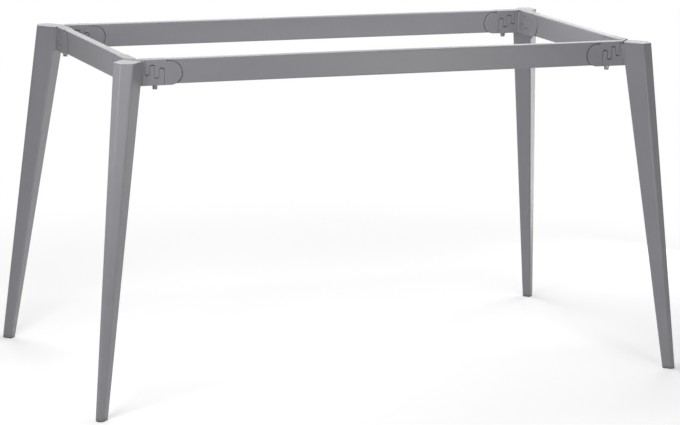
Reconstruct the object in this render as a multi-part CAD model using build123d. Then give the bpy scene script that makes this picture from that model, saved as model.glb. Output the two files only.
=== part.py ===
from build123d import *
import math
import os

# A table frame: four splayed, tapered legs and four rails that hook into them.
# Millimetres. The origin is on the floor, midway between the legs.
# +X runs along the long rails, +Y goes to the back, +Z is up.

# Whole frame
seat_height = 710.0          # floor to the top of the rails, where the table top rests
frame_length = 1132.0        # over the outer faces of the two short rails
frame_width = 525.0          # over the outer faces of the two long rails

# Rails: rectangular steel tube
rail_height = 50.0
rail_thickness = 20.0
rail_wall = 2.0
rail_corner_radius = 2.5

# Legs: folded and welded sheet steel, five-sided, set along the frame's diagonals
leg_wall = 2.0
leg_corner_radius = 4.0      # at the two edges of the inner face
leg_shoulder_radius = 7.0
leg_ridge_radius = 4.0
leg_top_width = 44.5         # across the two parallel sides
leg_foot_width = 19.5
leg_top_side = 46.5          # length of the parallel sides
leg_foot_side = 21.0
leg_top_offset = -19.5       # inner face from the rails' outer corner, outwards positive
leg_foot_offset = 100.5
ridge_slope = 0.56           # height of the outer ridge over half the width
leg_top_drop = 1.6           # the cap stays this far below the seat
cap_thickness = 3.0
cap_edge_radius = 0.8
cap_inner_radius = 11.0      # leaves a vent beside the plate at the two edges of the inner face

# Foot glides
glide_height = 7.5           # what shows below the steel
glide_edge_radius = 1.5
glide_plug_depth = 20.0
glide_plug_clearance = 0.3
glide_inset = 0.2            # how far the pad's outline stays inside the steel's

# Hook connectors, along a rail from the outer face of the rail it meets at the corner
hook_proud = 2.0             # how far the castings stand out past the tube, at the sides and below
slot_1_start = 32.5          # inner slot of the leg's comb, for the first rail finger
slot_1_width = 11.0
leg_finger_1_width = 9.0
slot_2_width = 10.0
leg_finger_2_width = 11.0
wedge_draft = 1.6            # the first rail finger narrows by this towards its tip
rail_finger_1_depth = 30.0   # all depths are measured down from the seat
rail_finger_2_depth = 36.5
leg_finger_1_depth = 12.0
leg_finger_2_depth = 18.0
hook_side_gap = 0.4
hook_end_gap = 1.4
finger_tip_radius = 3.5
finger_corner_radius = 1.5
casting_edge_radius = 0.8
mitre_gap = 0.4
mitre_edge_radius = 3.0
mitre_relief_radius = 4.5    # a pocket at the top of the mitre, on the inside of the corner
mitre_relief_depth = 4.5

# Rail end of the connector
shoe_block_length = 5.5      # solid block between the comb and the tube's end
shoe_end = 110.5             # furthest point of the half-round head
shoe_end_radius = 23.8
shoe_groove = 1.4            # between the head and the tube's half-round notch
shoe_clearance = 0.1
tube_end_gap = 0.3
spigot_length = 22.0         # past the half-round head
spigot_clearance = 0.3

# Clamp screws, M6
screw_diameter = 6.0
screw_length = 30.0
screw_clearance = 0.5
thread_clearance = 0.05
thread_depth = 22.0
head_diameter = 10.0
head_height = 6.0
head_edge_radius = 0.6
socket_across_flats = 5.0
socket_depth = 3.2
flat_washer_diameter = 12.0
flat_washer_thickness = 1.6
lock_washer_diameter = 10.6
lock_washer_thickness = 1.6
lock_washer_split = 1.2
washer_clearance = 0.2

# Worked out from the sizes above
half_length = frame_length / 2
half_width = frame_width / 2
leg_top = seat_height - leg_top_drop
steel_top = leg_top - cap_thickness
rail_bottom = seat_height - rail_height
hook_bottom = rail_bottom - hook_proud
casting_thickness = rail_thickness + 2 * hook_proud
slot_1_end = slot_1_start + slot_1_width
slot_2_start = slot_1_end + leg_finger_1_width
slot_2_end = slot_2_start + slot_2_width
leg_comb_end = slot_2_end + leg_finger_2_width
finger_2_centre = slot_2_end + leg_finger_2_width / 2
block_start = leg_comb_end + hook_side_gap
block_end = block_start + shoe_block_length
tube_start = block_end + tube_end_gap
screw_position = (slot_2_start + slot_2_end) / 2
slot_2_floor = seat_height - rail_finger_2_depth - hook_end_gap
casting_side = rail_thickness + hook_proud
shoe_centre = shoe_end - shoe_end_radius
shoe_height = hook_bottom + shoe_end_radius
tube_floor = rail_bottom + rail_wall
cutting_reach = leg_foot_offset + leg_top_width

# The front left corner: the legs point outwards along this diagonal
corner = Vector(-half_length, -half_width, 0)
outwards = Vector(-1, -1, 0).normalized()


def leg_outline(height, inset, corner_radius):
    """The leg's five-sided outline at a height, all sides moved inwards by the inset."""
    share = height / leg_top
    half = (leg_foot_width + (leg_top_width - leg_foot_width) * share) / 2
    side = leg_foot_side + (leg_top_side - leg_foot_side) * share
    start = leg_foot_offset + (leg_top_offset - leg_foot_offset) * share
    nose_inset = inset * math.hypot(1, ridge_slope)
    shoulder = start + side + ridge_slope * inset - nose_inset
    tip = start + side + ridge_slope * half - nose_inset
    points = [
        (start + inset, half - inset),
        (start + inset, inset - half),
        (shoulder, inset - half),
        (tip, 0),
        (shoulder, half - inset),
    ]
    radii = [corner_radius, corner_radius, leg_shoulder_radius, leg_ridge_radius, leg_shoulder_radius]
    outline = FilletPolyline(*points, radius=[radius - inset for radius in radii], close=True)
    place = Plane(origin=corner + Vector(0, 0, height), x_dir=outwards, z_dir=(0, 0, 1))
    return place * make_face(outline)


def leg_solid(bottom, top, inset=0.0, corner_radius=leg_corner_radius):
    outlines = [leg_outline(height, inset, corner_radius) for height in (bottom, top)]
    return loft(outlines, ruled=True)


def make_leg():
    outside = leg_solid(glide_height, steel_top)
    inside = leg_solid(glide_height - 1, steel_top + 1, leg_wall)
    return outside - inside


def make_leg_cap():
    cap = leg_solid(steel_top, leg_top, corner_radius=cap_inner_radius)
    top_edges = cap.faces().sort_by(Axis.Z)[-1].edges()
    return fillet(top_edges, cap_edge_radius)


def make_glide():
    pad = leg_solid(0, glide_height, glide_inset)
    floor_edges = pad.faces().sort_by(Axis.Z)[0].edges()
    pad = fillet(floor_edges, glide_edge_radius)
    plug_inset = leg_wall + glide_plug_clearance
    plug = leg_solid(glide_height, glide_height + glide_plug_depth, plug_inset)
    return pad + plug


def profile(points, radii):
    """A closed outline seen from the side: along the rail, then the height."""
    return make_face(FilletPolyline(*points, radius=radii, close=True))


def across_rail(face):
    """Carries an outline through the rail's thickness, and stands proud of both sides."""
    sideways = Plane(origin=(0, -hook_proud, 0), x_dir=(1, 0, 0), z_dir=(0, -1, 0))
    return extrude(sideways * face, -casting_thickness)


def vertical_pin(radius, bottom, top):
    pin = extrude(Circle(radius), top - bottom)
    return Pos(screw_position, rail_thickness / 2, bottom) * pin


def leg_comb_profile():
    floor_1 = seat_height - rail_finger_1_depth - hook_end_gap
    top_1 = seat_height - leg_finger_1_depth
    round_top = leg_finger_2_width / 2
    shoulder_2 = seat_height - leg_finger_2_depth - round_top
    corners = [
        ((0, hook_bottom), 0),
        ((leg_comb_end, hook_bottom), 0),
        ((leg_comb_end, shoulder_2), 0),
        ((slot_2_end, shoulder_2), 0),
        ((slot_2_end, slot_2_floor), finger_corner_radius),
        ((slot_2_start, slot_2_floor), finger_corner_radius),
        ((slot_2_start, top_1), finger_corner_radius),
        ((slot_1_end, top_1), finger_corner_radius),
        ((slot_1_end - wedge_draft, floor_1), finger_tip_radius),
        ((slot_1_start, floor_1), finger_tip_radius),
        ((slot_1_start, seat_height), 0),
        ((0, seat_height), 0),
    ]
    comb = profile([point for point, _ in corners], [radius for _, radius in corners])
    return comb + Pos(finger_2_centre, shoulder_2) * Circle(round_top)


def rail_comb_profile():
    gap = hook_side_gap
    tip_1 = seat_height - rail_finger_1_depth
    tip_2 = seat_height - rail_finger_2_depth
    roof_1 = seat_height - leg_finger_1_depth + hook_end_gap
    arch = leg_finger_2_width / 2 + gap
    spring_2 = seat_height - leg_finger_2_depth + hook_end_gap - arch
    corners = [
        ((slot_1_start + gap, seat_height), 0),
        ((slot_1_start + gap, tip_1), finger_tip_radius - gap),
        ((slot_1_end - wedge_draft - gap, tip_1), finger_tip_radius - gap),
        ((slot_1_end - gap, roof_1), finger_corner_radius),
        ((slot_2_start + gap, roof_1), finger_corner_radius),
        ((slot_2_start + gap, tip_2), finger_corner_radius),
        ((slot_2_end - gap, tip_2), finger_corner_radius),
        ((slot_2_end - gap, spring_2), 0),
        ((block_start, spring_2), 0),
        ((block_start, hook_bottom), 0),
        ((block_end, hook_bottom), 0),
        ((block_end, seat_height), 0),
    ]
    comb = profile([point for point, _ in corners], [radius for _, radius in corners])
    return comb - Pos(finger_2_centre, spring_2) * Circle(arch)


def half_round(extra):
    """The head of the rail fitting up to its solid block, grown by an extra all round."""
    radius = shoe_end_radius + extra
    length = shoe_centre + radius - block_end
    plate = Pos(block_end + length / 2, shoe_height) * Rectangle(length, 2 * radius)
    round_end = Pos(shoe_centre, shoe_height) * Circle(radius)
    square_end = Pos(shoe_centre + radius / 2, shoe_height) * Rectangle(radius, 2 * radius)
    return plate - (square_end - round_end)


def round_outline_edges(casting):
    """Rounds the edges that lie in the casting's two outer sides."""
    sides = (-hook_proud, casting_side)
    edges = []
    for edge in casting.edges():
        ends = [vertex.Y for vertex in edge.vertices()]
        if any(all(abs(y - side) < 0.001 for y in ends) for side in sides):
            edges.append(edge)
    return fillet(edges, casting_edge_radius)


def outward_of_leg_face():
    """Everything on the leg's side of its inner face, as a block to cut with."""
    lean = (leg_top_offset - leg_foot_offset) / leg_top
    ceiling = leg_top + cutting_reach
    face = make_face(Polyline(
        (leg_foot_offset, 0),
        (leg_top_offset + lean * cutting_reach, ceiling),
        (leg_foot_offset + cutting_reach, ceiling),
        (leg_foot_offset + cutting_reach, 0),
        close=True,
    ))
    standing = Plane(origin=(0, 0, 0), x_dir=outwards, z_dir=outwards.cross(Vector(0, 0, 1)))
    return extrude(standing * face, cutting_reach, both=True)


def mitre_rounding():
    """What the rounded edge takes off the casting where its inner side meets the mitre."""
    edge = Vector(casting_side, casting_side)
    run = mitre_edge_radius * math.tan(math.radians(22.5))
    corner_piece = make_face(Polyline(
        edge, edge + Vector(run, 0), edge - Vector(run, run) / math.sqrt(2), close=True,
    ))
    return corner_piece - Pos(casting_side + run, casting_side - mitre_edge_radius) * Circle(mitre_edge_radius)


def make_leg_bracket():
    """The comb on the leg, for the rail along +X, with the corner at the origin."""
    casting = round_outline_edges(across_rail(leg_comb_profile()))
    beyond_mitre = make_face(Polyline(
        (-cutting_reach, -cutting_reach - mitre_gap / 2),
        (cutting_reach, cutting_reach - mitre_gap / 2),
        (-cutting_reach, cutting_reach),
        close=True,
    ))
    casting -= Pos(0, 0, hook_bottom - 1) * extrude(beyond_mitre, cutting_reach)
    casting -= Pos(mitre_gap / 2, 0, hook_bottom - 1) * extrude(mitre_rounding(), cutting_reach)
    relief = extrude(Circle(mitre_relief_radius), mitre_relief_depth + 1)
    casting -= Pos(casting_side, casting_side, seat_height - mitre_relief_depth) * relief
    casting -= outward_of_leg_face()
    hole_radius = screw_diameter / 2 + screw_clearance
    return casting - vertical_pin(hole_radius, hook_bottom - 1, slot_2_floor + 1)


def make_rail_fitting():
    """The comb and shoe on the rail, for the rail along +X, with the corner at the origin."""
    outline = rail_comb_profile() + half_round(0)
    casting = round_outline_edges(across_rail(outline))
    slot = Box(
        shoe_end, rail_thickness + 2 * shoe_clearance, rail_wall + 2 * shoe_clearance,
        align=(Align.MIN, Align.CENTER, Align.MIN),
    )
    casting -= Pos(block_end, rail_thickness / 2, rail_bottom - shoe_clearance) * slot
    around = rail_wall + spigot_clearance
    spigot = Box(
        shoe_end + spigot_length - shoe_centre,
        rail_thickness - 2 * around,
        rail_height - 2 * around,
        align=(Align.MIN, Align.CENTER, Align.MIN),
    )
    casting += Pos(shoe_centre, rail_thickness / 2, rail_bottom + around) * spigot
    tip_2 = seat_height - rail_finger_2_depth
    hole_radius = screw_diameter / 2 + thread_clearance
    return casting - vertical_pin(hole_radius, tip_2 - 1, tip_2 + thread_depth)


def make_screw():
    """A socket head cap screw, its head below the washers."""
    head_top = hook_bottom - flat_washer_thickness - lock_washer_thickness
    head_bottom = head_top - head_height
    head = vertical_pin(head_diameter / 2, head_bottom, head_top)
    head = fillet(head.faces().sort_by(Axis.Z)[0].edges(), head_edge_radius)
    hexagon = RegularPolygon(socket_across_flats / 2, 6, major_radius=False)
    socket = extrude(hexagon, socket_depth)
    head -= Pos(screw_position, rail_thickness / 2, head_bottom) * socket
    return head + vertical_pin(screw_diameter / 2, head_top, head_top + screw_length)


def washer(diameter, bottom, thickness):
    hole_radius = screw_diameter / 2 + washer_clearance
    ring = vertical_pin(diameter / 2, bottom, bottom + thickness)
    return ring - vertical_pin(hole_radius, bottom - 1, bottom + thickness + 1)


def make_flat_washer():
    return washer(flat_washer_diameter, hook_bottom - flat_washer_thickness, flat_washer_thickness)


def make_lock_washer():
    bottom = hook_bottom - flat_washer_thickness - lock_washer_thickness
    ring = washer(lock_washer_diameter, bottom, lock_washer_thickness)
    split = Box(
        lock_washer_diameter, lock_washer_split, 2 * lock_washer_thickness,
        align=(Align.MIN, Align.CENTER, Align.CENTER),
    )
    return ring - Pos(screw_position, rail_thickness / 2, bottom) * split


def make_tube(over_corners):
    """A rail along X, from that length over its two corners, notched at both ends for the heads."""
    length = over_corners - 2 * tube_start
    outside = RectangleRounded(rail_thickness, rail_height, rail_corner_radius)
    inside = RectangleRounded(
        rail_thickness - 2 * rail_wall,
        rail_height - 2 * rail_wall,
        rail_corner_radius - rail_wall,
    )
    lying = Plane(origin=(-length / 2, 0, seat_height - rail_height / 2), x_dir=(0, 1, 0), z_dir=(1, 0, 0))
    tube = extrude(lying * (outside - inside), length)
    outline = half_round(shoe_groove)
    outline -= Pos(shoe_centre, tube_floor - rail_height / 2) * Rectangle(2 * rail_height, rail_height)
    notch = Pos(-over_corners / 2, -rail_thickness / 2, 0) * across_rail(outline)
    return tube - notch - mirror(notch, about=side_to_side)


# Placing: each corner is the front left one mirrored across the frame's middle planes
side_to_side = Plane(origin=(0, 0, 0), x_dir=(0, 1, 0), z_dir=(1, 0, 0))
front_to_back = Plane(origin=(0, 0, 0), x_dir=(1, 0, 0), z_dir=(0, 1, 0))
corner_diagonal = Plane(origin=corner, x_dir=outwards, z_dir=outwards.cross(Vector(0, 0, 1)))


def at_corner(shape, depth, side):
    if side == "right":
        shape = mirror(shape, about=side_to_side)
    if depth == "back":
        shape = mirror(shape, about=front_to_back)
    return shape


def long_and_short(shape):
    """A connector piece on the long rail, and its mirror image on the short rail."""
    on_long = Pos(corner.X, corner.Y, 0) * shape
    return on_long, mirror(on_long, about=corner_diagonal)


def build():
    nodes = {}
    leg, cap, glide = make_leg(), make_leg_cap(), make_glide()
    brackets = long_and_short(make_leg_bracket())
    fittings = long_and_short(make_rail_fitting())
    screws = long_and_short(make_screw())
    flat_washers = long_and_short(make_flat_washer())
    lock_washers = long_and_short(make_lock_washer())
    groups = {"clamp_screws": [], "flat_washers": [], "lock_washers": []}
    for depth in ("front", "back"):
        for side in ("left", "right"):
            nodes[f"leg_{depth}_{side}"] = at_corner(leg, depth, side)
            nodes[f"leg_cap_{depth}_{side}"] = at_corner(cap, depth, side)
            nodes[f"foot_glide_{depth}_{side}"] = at_corner(glide, depth, side)
            for which, name in enumerate((f"{depth}_{side}", f"{side}_{depth}")):
                nodes[f"leg_hook_{name}"] = at_corner(brackets[which], depth, side)
                nodes[f"rail_hook_{name}"] = at_corner(fittings[which], depth, side)
                groups["clamp_screws"].append(at_corner(screws[which], depth, side))
                groups["flat_washers"].append(at_corner(flat_washers[which], depth, side))
                groups["lock_washers"].append(at_corner(lock_washers[which], depth, side))
    long_tube = make_tube(frame_length)
    short_tube = Rot(0, 0, 90) * make_tube(frame_width)
    long_offset = half_width - rail_thickness / 2
    short_offset = half_length - rail_thickness / 2
    nodes["rail_front"] = Pos(0, -long_offset, 0) * long_tube
    nodes["rail_back"] = Pos(0, long_offset, 0) * long_tube
    nodes["rail_left"] = Pos(-short_offset, 0, 0) * short_tube
    nodes["rail_right"] = Pos(short_offset, 0, 0) * short_tube
    for name, pieces in groups.items():
        nodes[name] = Compound(children=pieces)
    return nodes


os.makedirs("parts", exist_ok=True)
for node_name, node_shape in build().items():
    export_step(node_shape, f"parts/{node_name}.step")
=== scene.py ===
import math
import bpy
import bmesh
from mathutils import Matrix, Vector


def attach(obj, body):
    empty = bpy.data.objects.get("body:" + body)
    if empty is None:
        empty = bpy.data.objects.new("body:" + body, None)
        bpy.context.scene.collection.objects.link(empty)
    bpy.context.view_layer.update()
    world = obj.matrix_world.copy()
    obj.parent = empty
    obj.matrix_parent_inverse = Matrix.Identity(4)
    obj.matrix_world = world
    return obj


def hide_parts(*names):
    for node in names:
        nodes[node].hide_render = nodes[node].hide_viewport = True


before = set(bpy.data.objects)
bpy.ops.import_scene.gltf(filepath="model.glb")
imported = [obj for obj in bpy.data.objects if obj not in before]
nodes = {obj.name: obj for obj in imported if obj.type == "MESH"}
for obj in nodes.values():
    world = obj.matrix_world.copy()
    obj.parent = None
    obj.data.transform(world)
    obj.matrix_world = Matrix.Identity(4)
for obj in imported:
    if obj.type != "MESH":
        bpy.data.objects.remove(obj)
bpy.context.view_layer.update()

# A table frame without its top: four splayed steel legs, and four rails that hook into them.
# Metres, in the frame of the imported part: +X along the long rails, +Y to the back, +Z up.
# What is built here is written in millimetres, and scaled by MM as it becomes a mesh.
MM = 0.001


# Legs and their cap plates
# Each leg is sheet steel, folded to five sides, tapered, and welded shut under a small plate.
# The frame is powder coated in satin grey after all the welding.

def linear(hex_colour):
    """An sRGB hex colour as linear RGBA."""
    channels = [int(hex_colour[i:i + 2], 16) / 255 for i in (1, 3, 5)]
    return [c / 12.92 if c <= 0.04045 else ((c + 0.055) / 1.055) ** 2.4 for c in channels] + [1.0]


def add_node(owner, kind, inputs=None, **settings):
    """Adds a shader node to a material or a world. An input takes a value, or another node's
    output that feeds it."""
    node = owner.node_tree.nodes.new(kind)
    for name, value in settings.items():
        setattr(node, name, value)
    for name, value in (inputs or {}).items():
        if isinstance(value, bpy.types.NodeSocket):
            owner.node_tree.links.new(value, node.inputs[name])
        else:
            node.inputs[name].default_value = value
    return node


def blend(owner, share, first, second):
    """The colour between two others, by a share from 0 to 1."""
    # a mix node for colours takes them at its inputs 6 and 7, and gives the result at output 2
    mix = add_node(owner, "ShaderNodeMix", {"Factor": share, 6: first, 7: second}, data_type="RGBA")
    return mix.outputs[2]


def new_material(name):
    material = bpy.data.materials.new(name)
    material.use_nodes = True
    material.node_tree.nodes.clear()
    return material


def per_metre(size_mm):
    """The texture scale that draws one feature in that many millimetres."""
    return 1 / (size_mm * MM)


def powder_coat(name, light, dark, peel_mm, peel_height_mm, roughness, edge_mm):
    """Baked polyester powder on steel: satin, with orange peel, and a faint cloud in its grey.
    Powder draws back into a soft round at every edge, as wide as edge_mm."""
    material = new_material(name)
    place = add_node(material, "ShaderNodeTexCoord").outputs["Object"]
    cloud = add_node(material, "ShaderNodeTexNoise", {
        "Vector": place, "Scale": per_metre(70), "Detail": 3.0, "Roughness": 0.6,
    })
    # Real powder has flakes under 0.1 mm. They are drawn at 0.9 mm, so that they show.
    flakes = add_node(material, "ShaderNodeTexNoise", {
        "Vector": place, "Scale": per_metre(0.9), "Detail": 1.0, "Roughness": 0.4,
    })
    flake_share = add_node(material, "ShaderNodeMapRange", {
        "Value": flakes.outputs["Fac"], "From Min": 0.3, "From Max": 0.7, "To Min": -0.25, "To Max": 0.25,
    })
    light_share = add_node(material, "ShaderNodeMath", {
        0: cloud.outputs["Fac"], 1: flake_share.outputs["Result"],
    }, operation="ADD", use_clamp=True)
    gloss = add_node(material, "ShaderNodeMapRange", {
        "Value": cloud.outputs["Fac"], "To Min": roughness - 0.05, "To Max": roughness + 0.05,
    })
    peel = add_node(material, "ShaderNodeTexNoise", {
        "Vector": place, "Scale": per_metre(peel_mm), "Detail": 1.5, "Roughness": 0.45,
    })
    soft_edge = add_node(material, "ShaderNodeBevel", {"Radius": edge_mm * MM}, samples=6)
    relief = add_node(material, "ShaderNodeBump", {
        "Height": peel.outputs["Fac"], "Strength": 0.6, "Distance": peel_height_mm * MM,
        "Normal": soft_edge.outputs["Normal"],
    })
    surface = add_node(material, "ShaderNodeBsdfPrincipled", {
        "Base Color": blend(material, light_share.outputs["Value"], linear(dark), linear(light)),
        "Roughness": gloss.outputs["Result"], "IOR": 1.5, "Normal": relief.outputs["Normal"],
    })
    add_node(material, "ShaderNodeOutputMaterial", {"Surface": surface.outputs["BSDF"]})
    return material


def finish_nodes(prefix, material):
    """Gives the CAD nodes whose names start with the prefix their finish."""
    for name, node in nodes.items():
        if name.startswith(prefix):
            for material_slot in node.material_slots:
                material_slot.material = material


sheet_coat = powder_coat(
    "powder coated sheet steel", "#8d8c91", "#838287",
    peel_mm=1.6, peel_height_mm=0.02, roughness=0.42, edge_mm=0.8,
)
finish_nodes("leg_", sheet_coat)


# Hook connectors
# Cast combs: the one with two fingers upwards is welded to the leg, the other grips it from above.
# The rail's comb ends in a half-round head, with a spigot inside the tube.

cast_coat = powder_coat(
    "powder coated cast steel", "#8d8c91", "#807f84",
    peel_mm=2.4, peel_height_mm=0.05, roughness=0.45, edge_mm=1.8,
)
finish_nodes("leg_hook_", cast_coat)
finish_nodes("rail_hook_", cast_coat)


# Weld beads
# Each leg bracket is welded to the leg along its outer side and underneath, and to its neighbour
# down the inner corner. The ripples of the weld pool show through the powder.

rails_corner_x = 566.0      # where the outer faces of two rails would meet
rails_corner_y = 262.5
casting_side = 22.0         # from the rails' outer faces to the inner faces of the castings
casting_proud = 2.0         # how far the castings stand out past the rails
bracket_bottom = 658.0
leg_top = 708.4
bead_step = 0.4             # from one section of an upright bead to the next
bead_depth = 0.6            # how far the hidden side of a bead lies inside the steel
up = Vector((0, 0, 1))


def bead(mesh, sections, bulge_mm, ripple_mm):
    """Adds a bead to a mesh. A section is one side, the other side, and the joint behind. The
    bead bulges between its sides, in ripples that bow forward in the middle."""
    spans = 8
    rings = []
    travelled = 0.0
    for k, (one, other, joint) in enumerate(sections):
        if k > 0:
            travelled += (one - sections[k - 1][0]).length
        out = ((one + other) / 2 - joint).normalized()
        ring = [joint]
        for i in range(spans + 1):
            arch = 4 * i * (spans - i) / spans ** 2     # 0 at both sides and 1 in the middle
            wave = abs(math.sin(math.pi * travelled / ripple_mm + 1.1 * arch))
            ring.append(one.lerp(other, i / spans) + out * bulge_mm * arch * (0.75 + 0.45 * wave))
        rings.append([mesh.verts.new(point * MM) for point in ring])
    for ring, following in zip(rings, rings[1:]):
        for i in range(len(ring)):
            j = (i + 1) % len(ring)
            mesh.faces.new((ring[i], ring[j], following[j], following[i]))
    mesh.faces.new(rings[0])
    mesh.faces.new(rings[-1])


def steps(start, end, spacing):
    """Even steps from start to end, about as far apart as the spacing."""
    count = max(2, round(abs(end - start) / spacing))
    return [start + (end - start) * i / count for i in range(count + 1)]


def tapered(place, start, end, start_run, end_run):
    """1 along a bead, and less towards its start and its end, over a run at each."""
    return min(1, (place - start) / start_run, (end - place) / end_run)


def leg_face_at(height):
    """How far outwards a leg's inner face stands from the rails' corner: 100.5 at the floor, and
    -19.5 at the leg's top."""
    return 100.5 - 120.0 * height / leg_top


def leg_half_width_at(height):
    """Half the width across a leg's parallel sides: 9.75 at the floor, and 22.25 at its top."""
    return 9.75 + 12.5 * height / leg_top


def corner_sections(inner_corner, outwards, along_x, along_y):
    """The bead that joins two brackets, down the inner corner."""
    sections = []
    for height in steps(658.6, 705.0, bead_step):
        level = inner_corner + up * height
        reach = 2.9 * tapered(height, 658.3, 705.4, 1.5, 1.5)
        sections.append((level + along_x * reach, level + along_y * reach, level + outwards * 0.8))
    return sections


def side_sections(corner, outwards, along, side):
    """The bead between a bracket's outer side and the round edge of the leg's inner face. It
    climbs that edge towards the top, where the joint opens."""
    edge_radius = 4.0
    edge_inset = 4.1        # from the leg's two faces to the middle of the round
    across = (along + side).normalized()
    sections = []
    for height in steps(658.4, 705.0, bead_step):
        face = leg_face_at(height)
        root = corner + up * height + along * (casting_proud - face * math.sqrt(2))
        root += side * casting_proud
        # how far round the leg's edge the bead comes: more over the 15 mm above 685
        climb = math.radians(50 + 20 * min(1, max(0, (height - 685) / 15)))
        edge = corner + up * height + outwards * (face + edge_inset - edge_radius * math.cos(climb))
        edge += across * (leg_half_width_at(height) - edge_inset + edge_radius * math.sin(climb))
        share = tapered(height, 658.0, 706.0, 1.2, 4)
        reach = (edge - root).length * 0.8 + 0.8        # about as far as the joint is wide
        on_bracket = root + along * reach * share - side * 0.1
        joint = root - side * bead_depth - along * bead_depth
        sections.append((on_bracket, root.lerp(edge, share), joint))
    return sections


def under_sections(corner, outwards, across):
    """The bead under a bracket, across half the leg's inner face."""
    bottom_face = leg_face_at(bracket_bottom)
    sections = []
    for place in steps(1.2, 13.3, 0.35):
        level = corner + across * place
        reach = 2.7 * tapered(place, 0.8, 13.7, 2.2, 2.2)
        low = bracket_bottom - reach
        sections.append((
            level + up * low + outwards * (leg_face_at(low) + 0.05),
            level + up * (bracket_bottom + 0.05) + outwards * (bottom_face - reach),
            level + up * (bracket_bottom + bead_depth) + outwards * (bottom_face + bead_depth),
        ))
    return sections


weld_mesh = bmesh.new()
for sx in (-1, 1):
    for sy in (-1, 1):
        corner = Vector((rails_corner_x * sx, rails_corner_y * sy, 0))
        outwards = Vector((sx, sy, 0)).normalized()
        inner_corner = corner - outwards * casting_side * math.sqrt(2)
        along_x = Vector((-sx, 0, 0))
        along_y = Vector((0, -sy, 0))
        sections = corner_sections(inner_corner, outwards, along_x, along_y)
        bead(weld_mesh, sections, bulge_mm=0.5, ripple_mm=2.4)
        for along, side in ((along_x, -along_y), (along_y, -along_x)):
            sections = side_sections(corner, outwards, along, side)
            bead(weld_mesh, sections, bulge_mm=0.35, ripple_mm=2.2)
            sections = under_sections(corner, outwards, across=(along + side).normalized())
            bead(weld_mesh, sections, bulge_mm=0.6, ripple_mm=1.9)
bmesh.ops.recalc_face_normals(weld_mesh, faces=weld_mesh.faces)
for face in weld_mesh.faces:
    face.smooth = True
beads_mesh = bpy.data.meshes.new("weld_beads")
weld_mesh.to_mesh(beads_mesh)
weld_mesh.free()
weld_beads = bpy.data.objects.new("weld_beads", beads_mesh)
bpy.context.scene.collection.objects.link(weld_beads)
weld_coat = powder_coat(
    "powder coated weld", "#8f8e93", "#85848a",
    peel_mm=1.8, peel_height_mm=0.03, roughness=0.36, edge_mm=0.3,
)
beads_mesh.materials.append(weld_coat)
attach(weld_beads, "root")


# Rails
# Two long and two short rails of cold rolled rectangular steel tube. Their ends are notched
# half-round, to fit round the heads of the hooks.

tube_coat = powder_coat(
    "powder coated tube", "#8d8c91", "#848388",
    peel_mm=1.4, peel_height_mm=0.015, roughness=0.4, edge_mm=1.0,
)
for side_name in ("front", "back", "left", "right"):
    finish_nodes("rail_" + side_name, tube_coat)


# Clamp screws and their washers
# M6 socket head cap screws in zinc plated steel, with knurled heads and rolled threads. Each is
# turned up from below, through a lock washer and a flat washer, and clamps one hook.

rail_middle = 10.0          # from a rail's outer face to the middle of its tube
screw_place = 57.5          # from the rails' corner, along the rail
head_bottom = 648.8
head_top = 654.8
socket_floor = 652.0
thread_top = 684.3


def zinc_plate(name, colour, roughness):
    """Bright zinc plating: cool, nearly white metal with a slightly cloudy gloss."""
    material = new_material(name)
    place = add_node(material, "ShaderNodeTexCoord").outputs["Object"]
    cloud = add_node(material, "ShaderNodeTexNoise", {
        "Vector": place, "Scale": per_metre(3), "Detail": 3.0, "Roughness": 0.6,
    })
    gloss = add_node(material, "ShaderNodeMapRange", {
        "Value": cloud.outputs["Fac"], "To Min": roughness - 0.08, "To Max": roughness + 0.08,
    })
    relief = add_node(material, "ShaderNodeBump", {
        "Height": cloud.outputs["Fac"], "Strength": 0.3, "Distance": 0.02 * MM,
    })
    surface = add_node(material, "ShaderNodeBsdfPrincipled", {
        "Base Color": linear(colour), "Metallic": 1.0, "Roughness": gloss.outputs["Result"],
        "Normal": relief.outputs["Normal"],
    })
    add_node(material, "ShaderNodeOutputMaterial", {"Surface": surface.outputs["BSDF"]})
    return material


def turned(mesh, x, y, rings, columns):
    """Adds a closed turned body. A ring is a height and a radius, or a radius that depends on the
    angle."""
    loops = []
    for height, radius in rings:
        loop = []
        for i in range(columns):
            angle = 2 * math.pi * i / columns
            reach = radius(angle) if callable(radius) else radius
            point = Vector((x + reach * math.cos(angle), y + reach * math.sin(angle), height))
            loop.append(mesh.verts.new(point * MM))
        loops.append(loop)
    for lower, upper in zip(loops, loops[1:]):
        for i in range(columns):
            j = (i + 1) % columns
            mesh.faces.new((lower[i], lower[j], upper[j], upper[i]))
    mesh.faces.new(loops[0][::-1])
    mesh.faces.new(loops[-1])


def hexagon(angle):
    """The socket, 5 mm across its flats."""
    return 2.5 / math.cos((angle + math.pi / 6) % (math.pi / 3) - math.pi / 6)


def knurl(angle):
    """Forty straight ridges round the head."""
    return 5.0 - 0.26 * abs(math.sin(20 * angle))


def thread(height):
    """A section through the M6 thread, of 1 mm pitch and 0.58 mm depth."""
    def radius(angle):
        share = (height - angle / (2 * math.pi)) % 1.0
        return 2.98 - 0.58 * (1 - abs(2 * share - 1))
    return radius


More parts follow.
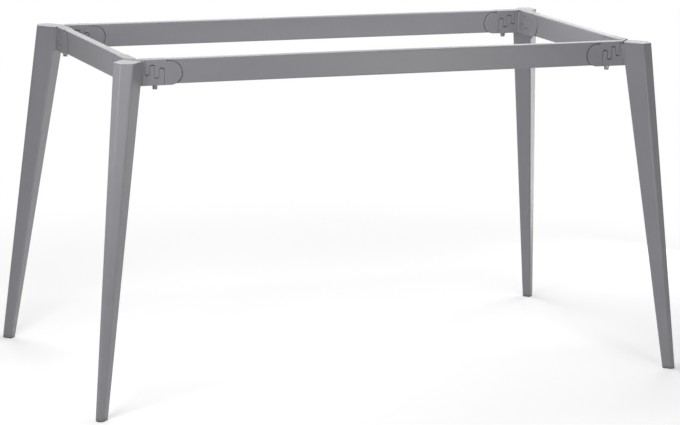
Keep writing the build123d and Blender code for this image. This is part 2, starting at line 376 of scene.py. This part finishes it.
# from the middle of the socket's floor out and down to the rim, then up the outside of the head
head_rings = [
    (socket_floor + 0.7, 0.3), (socket_floor + 0.1, 2.3), (socket_floor, hexagon),
    (head_bottom + 0.3, hexagon), (head_bottom, 3.1), (head_bottom, 4.3), (head_bottom + 0.1, 4.65),
    (head_bottom + 0.5, 4.9), (head_bottom + 0.8, 4.92), (head_bottom + 1.0, knurl),
    (head_top - 0.5, knurl), (head_top - 0.35, 4.92), (head_top, 4.75), (head_top, 2.9),
    (head_top + 0.2, 2.9),
]
shank_rings = [(head_top - 0.1, 2.9)]
shank_rings += [(height, thread(height)) for height in steps(head_top + 0.2, thread_top, 0.25)]
shank_rings.append((thread_top + 0.5, 2.3))
screw_mesh = bmesh.new()
for sx in (-1, 1):
    for sy in (-1, 1):
        on_long_rail = (rails_corner_x - screw_place, rails_corner_y - rail_middle)
        on_short_rail = (rails_corner_x - rail_middle, rails_corner_y - screw_place)
        for x, y in (on_long_rail, on_short_rail):
            turned(screw_mesh, x * sx, y * sy, head_rings, columns=120)
            turned(screw_mesh, x * sx, y * sy, shank_rings, columns=24)
cap_screws_mesh = bpy.data.meshes.new("cap_screws")
screw_mesh.to_mesh(cap_screws_mesh)
screw_mesh.free()
cap_screws = bpy.data.objects.new("cap_screws", cap_screws_mesh)
bpy.context.scene.collection.objects.link(cap_screws)
bright_zinc = zinc_plate("zinc plated steel", "#86888c", roughness=0.3)
cap_screws_mesh.materials.append(bright_zinc)
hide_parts("clamp_screws")
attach(cap_screws, "root")
finish_nodes("flat_washers", bright_zinc)
finish_nodes("lock_washers", bright_zinc)


# Foot glides
# Injection moulded polyamide plugs that close the open foot of each leg. The pad that shows
# carries the leg on the floor.

def moulded_plastic(name, light, dark, painted_contact_shade, grain_mm, roughness):
    """Moulded polyamide with a spark eroded grain, so it is matt and a little uneven. Its lowest edge is
    painted darker, as painted contact shade where it stands on the floor."""
    material = new_material(name)
    place = add_node(material, "ShaderNodeTexCoord").outputs["Object"]
    grain = add_node(material, "ShaderNodeTexNoise", {
        "Vector": place, "Scale": per_metre(grain_mm), "Detail": 2.0, "Roughness": 0.5,
    })
    height = add_node(material, "ShaderNodeSeparateXYZ", {"Vector": place}).outputs["Z"]
    # painted contact shade: below 1.5 mm the glide takes the dark colour, which fades out by 3.5 mm
    above_painted_contact_shade = add_node(material, "ShaderNodeMapRange", {
        "Value": height, "From Min": 1.5 * MM, "From Max": 3.5 * MM,
    }, interpolation_type="SMOOTHSTEP")
    body = blend(material, grain.outputs["Fac"], linear(dark), linear(light))
    relief = add_node(material, "ShaderNodeBump", {
        "Height": grain.outputs["Fac"], "Strength": 0.5, "Distance": 0.03 * MM,
    })
    surface = add_node(material, "ShaderNodeBsdfPrincipled", {
        "Base Color": blend(material, above_painted_contact_shade.outputs["Result"], linear(painted_contact_shade), body),
        "Roughness": roughness, "IOR": 1.53, "Normal": relief.outputs["Normal"],
    })
    add_node(material, "ShaderNodeOutputMaterial", {"Surface": surface.outputs["BSDF"]})
    return material


# the third colour is painted contact shade, for the glide's lowest edge
glide_plastic = moulded_plastic(
    "moulded polyamide", "#858489", "#7c7b80", "#3c3b40", grain_mm=0.8, roughness=0.55,
)
finish_nodes("foot_glide_", glide_plastic)


# Floor and light
# A pale studio floor, against white. Four broad lamps above and behind light the whole frame, and
# small ones nearby lift one face or corner each.

floor_reach = 12.0
floor_mesh = bpy.data.meshes.new("studio_floor")
floor_corners = [
    (x * floor_reach, y * floor_reach, 0.0) for x, y in ((-1, -1), (1, -1), (1, 1), (-1, 1))
]
floor_mesh.from_pydata(floor_corners, [], [(0, 1, 2, 3)])
floor = bpy.data.objects.new("studio_floor", floor_mesh)
bpy.context.scene.collection.objects.link(floor)

paper_white = linear("#f4f4f4")
pure_white = linear("#ffffff")
paper = new_material("white studio paper")
seen = add_node(paper, "ShaderNodeLightPath")
matt = add_node(paper, "ShaderNodeBsdfDiffuse", {"Color": paper_white}).outputs["BSDF"]
# Reflected in the powder coat, the paper is as bright as under a studio's full light.
lift = add_node(paper, "ShaderNodeEmission", {"Color": pure_white, "Strength": 0.35})
lifted = add_node(paper, "ShaderNodeAddShader", {0: matt, 1: lift.outputs["Emission"]})
reflected = add_node(paper, "ShaderNodeMixShader", {
    0: seen.outputs["Is Glossy Ray"], 1: matt, 2: lifted.outputs["Shader"],
})
# Past the table's own shadow the paper fades to plain white, only where the camera looks at it.
floor_place = add_node(paper, "ShaderNodeTexCoord").outputs["Object"]
distance = add_node(paper, "ShaderNodeVectorMath", {0: floor_place}, operation="LENGTH")
fade = add_node(paper, "ShaderNodeMapRange", {
    "Value": distance.outputs["Value"], "From Min": 0.8, "From Max": 1.7,
}, interpolation_type="SMOOTHSTEP")
near_lift = add_node(paper, "ShaderNodeEmission", {"Color": pure_white, "Strength": 0.23})
near = add_node(paper, "ShaderNodeAddShader", {0: matt, 1: near_lift.outputs["Emission"]})
far = add_node(paper, "ShaderNodeEmission", {"Color": pure_white, "Strength": 1.0})
looked_at = add_node(paper, "ShaderNodeMixShader", {
    0: fade.outputs["Result"], 1: near.outputs["Shader"], 2: far.outputs["Emission"],
})
chosen = add_node(paper, "ShaderNodeMixShader", {
    0: seen.outputs["Is Camera Ray"], 1: reflected.outputs["Shader"], 2: looked_at.outputs["Shader"],
})
add_node(paper, "ShaderNodeOutputMaterial", {"Surface": chosen.outputs["Shader"]})
floor_mesh.materials.append(paper)

# The room is white where it is looked at, reflected or seen through, and dim as a light.
world = bpy.data.worlds.new("studio")
bpy.context.scene.world = world
world.use_nodes = True
world.node_tree.nodes.clear()
path = add_node(world, "ShaderNodeLightPath")
looked_or_reflected = add_node(world, "ShaderNodeMath", {
    0: path.outputs["Is Camera Ray"], 1: path.outputs["Is Glossy Ray"],
}, operation="MAXIMUM")
seen_white = add_node(world, "ShaderNodeMath", {
    0: looked_or_reflected.outputs["Value"], 1: path.outputs["Is Transmission Ray"],
}, operation="MAXIMUM")
room = add_node(world, "ShaderNodeBackground", {"Color": pure_white, "Strength": 0.1})
white = add_node(world, "ShaderNodeBackground", {"Color": pure_white, "Strength": 1.0})
around = add_node(world, "ShaderNodeMixShader", {
    0: seen_white.outputs["Value"], 1: room.outputs["Background"], 2: white.outputs["Background"],
})
add_node(world, "ShaderNodeOutputWorld", {"Surface": around.outputs["Shader"]})


def softbox(name, place, aim, size, watts, height=None):
    """A soft light at a place, in metres, turned to face a point: square, unless it has a height."""
    lamp = bpy.data.lights.new(name, "AREA")
    lamp.shape = "RECTANGLE"
    lamp.size = size
    lamp.size_y = height or size
    lamp.energy = watts
    box = bpy.data.objects.new(name, lamp)
    box.location = place
    box.rotation_euler = (Vector(aim) - Vector(place)).to_track_quat("-Z", "Y").to_euler()
    box.visible_camera = False
    bpy.context.scene.collection.objects.link(box)


table_middle = (0.0, 0.0, 0.4)
front_left_connector = (-0.6, -0.29, 0.64)
back_right_connector = (0.5, 0.24, 0.68)
softbox("back_right", (2.15, 2.15, 1.4), table_middle, size=1.6, watts=14)
softbox("back", (0.0, 2.2, 1.3), (0.0, 0.26, 0.7), size=1.4, watts=6.5)
softbox("high_back", (-0.8, 1.98, 2.78), table_middle, size=1.6, watts=20)
softbox("overhead", (0.0, 0.0, 2.0), (0.0, 0.0, 0.7), size=1.0, watts=16)
softbox("near_front_left", (-1.15, -0.78, 0.95), (-0.59, -0.29, 0.6), size=0.45, watts=6.7)
softbox("left", (-2.3, -0.86, 0.73), front_left_connector, size=0.35, watts=1.5)
softbox("low_left", (-1.76, 0.67, 0.57), (-0.6, -0.28, 0.64), size=0.35, watts=0.4)
softbox("near_front", (0.62, -1.6, 0.48), (0.02, -0.26, 0.68), size=0.4, watts=5.0)
softbox("front_right", (0.95, -0.75, 1.1), (0.45, 0.25, 0.68), size=0.4, watts=0.4)
softbox("low_right", (1.3, 0.63, 0.32), (0.6, 0.28, 0.38), size=0.35, watts=2.35, height=0.6)
softbox("over_middle", (0.4, -0.1, 0.88), back_right_connector, size=0.3, watts=0.45)


# Camera
# A long lens, a little above the frame's height and turned down to it. Its place, its angles and
# the lens were solved from the photograph's edges.

camera = bpy.data.cameras.new("camera")
camera.lens = 138.89
camera.sensor_width = 36.0
camera.clip_end = 50.0
camera_object = bpy.data.objects.new("camera", camera)
camera_place = Matrix.Translation((-2.17003, -5.15402, 1.50515))
yaw = math.radians(22.874)
pitch = math.radians(12.016)
roll = math.radians(1.333)
camera_turn = (
    Matrix.Rotation(-yaw, 4, "Z")
    @ Matrix.Rotation(math.radians(90) - pitch, 4, "X")
    @ Matrix.Rotation(roll, 4, "Z")
)
camera_object.matrix_world = camera_place @ camera_turn
bpy.context.scene.collection.objects.link(camera_object)
bpy.context.scene.camera = camera_object
bpy.context.scene.view_settings.view_transform = "Standard"
